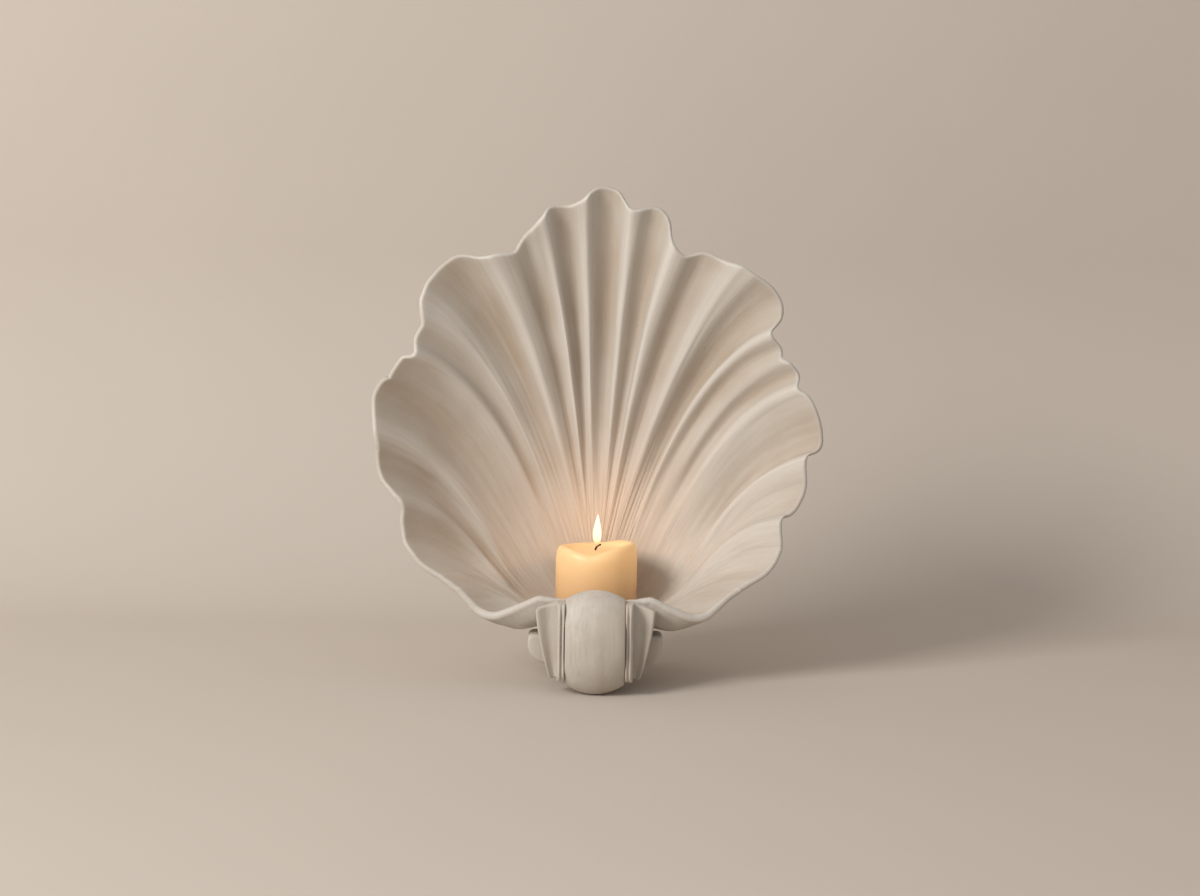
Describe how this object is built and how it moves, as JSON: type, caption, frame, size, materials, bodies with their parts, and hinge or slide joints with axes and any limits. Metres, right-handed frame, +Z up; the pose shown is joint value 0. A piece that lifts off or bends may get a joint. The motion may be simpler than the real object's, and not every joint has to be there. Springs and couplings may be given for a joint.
{
  "type": "shell wall sconce",
  "caption": "Fluted scallop-shell candle sconce on a scroll corbel, with a pillar candle on a spiked drip plate and a keyhole hanger let into its back.",
  "frame": {"origin": "middle of the footprint, on the surface that the sconce stands on; the wall is the plane Y = +0.079", "axes": "+Z up, +X to the right of a person who faces the sconce, +Y into the wall"},
  "size_m": [0.3728, 0.158, 0.4095],
  "materials": {
    "plaster": "whitewashed matt plaster with brown rubbed into the hollows",
    "wax": "warm wax, lit from inside",
    "wick": "burnt cotton",
    "brass": "spun and lightly tarnished",
    "steel": "zinc-plated",
    "hardwood": "plain beech",
    "felt": "dark wool felt"
  },
  "bodies": {
    "sconce": {"shell": "plaster", "bracket_body": "plaster", "scroll_roll": "plaster", "side_fillet_left": "plaster", "side_fillet_right": "plaster", "wing_left": "plaster", "wing_right": "plaster", "volute_left": "plaster", "volute_right": "plaster", "candle_plate": "brass", "pricket": "brass", "joining_bolts": "steel", "joining_washers": "steel", "anchor_plate": "steel", "scroll_key": "hardwood", "hanger_plate": "steel", "hanger_screws": "steel", "wall_bumpers": "felt", "foot_pads": "felt"},
    "candle": {"candle": "wax", "wick": "wick"}
  },
  "joints": [
    {"name": "candle_lift", "type": "slide", "parent": "sconce", "child": "candle", "axis": [0, 0, 1], "range_m": [0, 0.06]}
  ]
}
